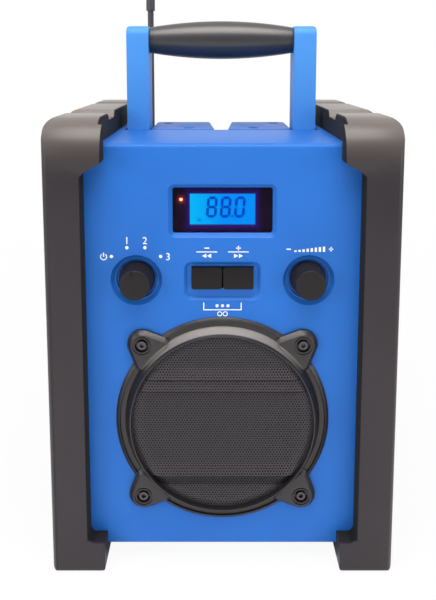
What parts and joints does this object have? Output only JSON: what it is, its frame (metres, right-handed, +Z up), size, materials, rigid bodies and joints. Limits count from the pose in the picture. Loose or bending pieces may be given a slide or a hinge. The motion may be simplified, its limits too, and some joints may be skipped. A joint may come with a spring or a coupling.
{
  "type": "jobsite radio",
  "caption": "Rugged upright worksite radio with side armours, folding carry handle, round speaker, lit display, knobs, tilting antenna and battery bay.",
  "frame": {"origin": "centre of the overall box at the ground", "axes": "+X to the right seen from the front, front towards -Y, +Z up"},
  "size_m": [0.215, 0.205, 0.395],
  "materials": {
    "blue_shell": "fine moulded texture, satin",
    "blue_handle": "fine moulded texture, satin",
    "armor": "soft matte skin",
    "grip": "soft matte rubber",
    "feet": "soft rubber",
    "screws": "zinc plated",
    "black_screws": "black oxide",
    "pins": "ground steel",
    "washers": "nylon",
    "lens": "clear tinted acrylic",
    "bezel": "gloss black",
    "display": "lit liquid crystal glass",
    "backlight": "white diffuser",
    "led": "lit amber lens",
    "knobs": "matte with fine ribs",
    "buttons": "satin black",
    "button_frame": "satin black",
    "switches": "plated switch bodies",
    "boards": "green solder mask",
    "board_parts": "plain aluminium",
    "ring": "moulded satin black",
    "grille": "black powder coat, perforated",
    "driver": "black stamped steel",
    "magnet": "ferrite and steel",
    "cone": "pressed paper pulp",
    "inner_plastic": "moulded black",
    "lids": "moulded black",
    "cells": "plain printed sleeve",
    "contacts": "nickel plated",
    "antenna": "flexible black sleeve"
  },
  "bodies": {
    "chassis": {"front_shell": "blue_shell", "rear_shell": "blue_shell", "shell_seal": "feet", "left_armor": "armor", "right_armor": "armor", "armor_screws": "screws", "rubber_feet": "feet", "case_screws": "screws", "left_bracket": "blue_shell", "right_bracket": "blue_shell", "bracket_screws": "screws", "pivot_pins": "pins", "pivot_washers": "washers", "window_lens": "lens", "display_bezel": "bezel", "display_glass": "display", "display_backlight": "backlight", "power_led": "led", "mode_switch": "switches", "volume_encoder": "switches", "button_frame": "button_frame", "tact_switches": "switches", "control_board": "boards", "board_screws": "screws", "speaker_ring": "ring", "ring_screws": "black_screws", "speaker_grille": "grille", "grille_gasket": "feet", "speaker_basket": "driver", "speaker_magnet": "magnet", "speaker_cone": "cone", "speaker_surround": "feet", "dust_cap": "cone", "driver_screws": "screws", "main_board": "boards", "heat_sink": "board_parts", "board_parts": "board_parts", "hinge_pins": "pins", "socket_housing": "inner_plastic", "signal_socket": "inner_plastic", "power_socket": "inner_plastic", "battery_box": "inner_plastic", "battery_cells": "cells", "battery_springs": "contacts", "antenna_base": "inner_plastic"},
    "mode_dial": {"mode_knob": "knobs", "mode_shaft": "pins"},
    "volume_dial": {"volume_knob": "knobs", "volume_shaft": "pins"},
    "back_key": {"back_button": "buttons"},
    "next_key": {"next_button": "buttons"},
    "carry_handle": {"left_handle_arm": "blue_handle", "right_handle_arm": "blue_handle", "handle_rod": "pins", "handle_grip": "grip", "handle_screws": "screws"},
    "aerial": {"antenna_rod": "antenna"},
    "battery_lid": {"battery_door": "lids"},
    "lid_lock": {"door_lock": "contacts"},
    "socket_flap": {"socket_cover": "lids"}
  },
  "joints": [
    {"name": "mode_knob_turn", "type": "hinge", "parent": "chassis", "child": "mode_dial", "pos_m": [-0.0532, -0.0915, 0.1875], "axis": [0, -1, 0], "range_deg": [-60, 30]},
    {"name": "volume_knob_turn", "type": "hinge", "parent": "chassis", "child": "volume_dial", "pos_m": [0.0532, -0.0915, 0.1875], "axis": [0, -1, 0], "continuous": true},
    {"name": "back_button_press", "type": "slide", "parent": "chassis", "child": "back_key", "axis": [0, 1, 0], "range_m": [0, 0.0008], "stiffness_N_per_m": 2500, "springref_m": -0.0002},
    {"name": "next_button_press", "type": "slide", "parent": "chassis", "child": "next_key", "axis": [0, 1, 0], "range_m": [0, 0.0008], "stiffness_N_per_m": 2500, "springref_m": -0.0002},
    {"name": "handle_fold", "type": "hinge", "parent": "chassis", "child": "carry_handle", "pos_m": [0, 0.0014, 0.258], "axis": [-1, 0, 0], "range_deg": [0, 90]},
    {"name": "antenna_tilt", "type": "hinge", "parent": "chassis", "child": "aerial", "pos_m": [-0.061, 0.0967, 0.222], "axis": [-1, 0, 0], "range_deg": [0, 90]},
    {"name": "battery_door_open", "type": "hinge", "parent": "chassis", "child": "battery_lid", "pos_m": [0, 0.0881, 0.0442], "axis": [-1, 0, 0], "range_deg": [0, 90]},
    {"name": "door_lock_turn", "type": "hinge", "parent": "battery_lid", "child": "lid_lock", "pos_m": [0, 0.0915, 0.1212], "axis": [0, 1, 0], "range_deg": [0, 90]},
    {"name": "socket_cover_open", "type": "hinge", "parent": "chassis", "child": "socket_flap", "pos_m": [0.066, 0.0881, 0.165], "axis": [0, 0, -1], "range_deg": [0, 90]}
  ]
}
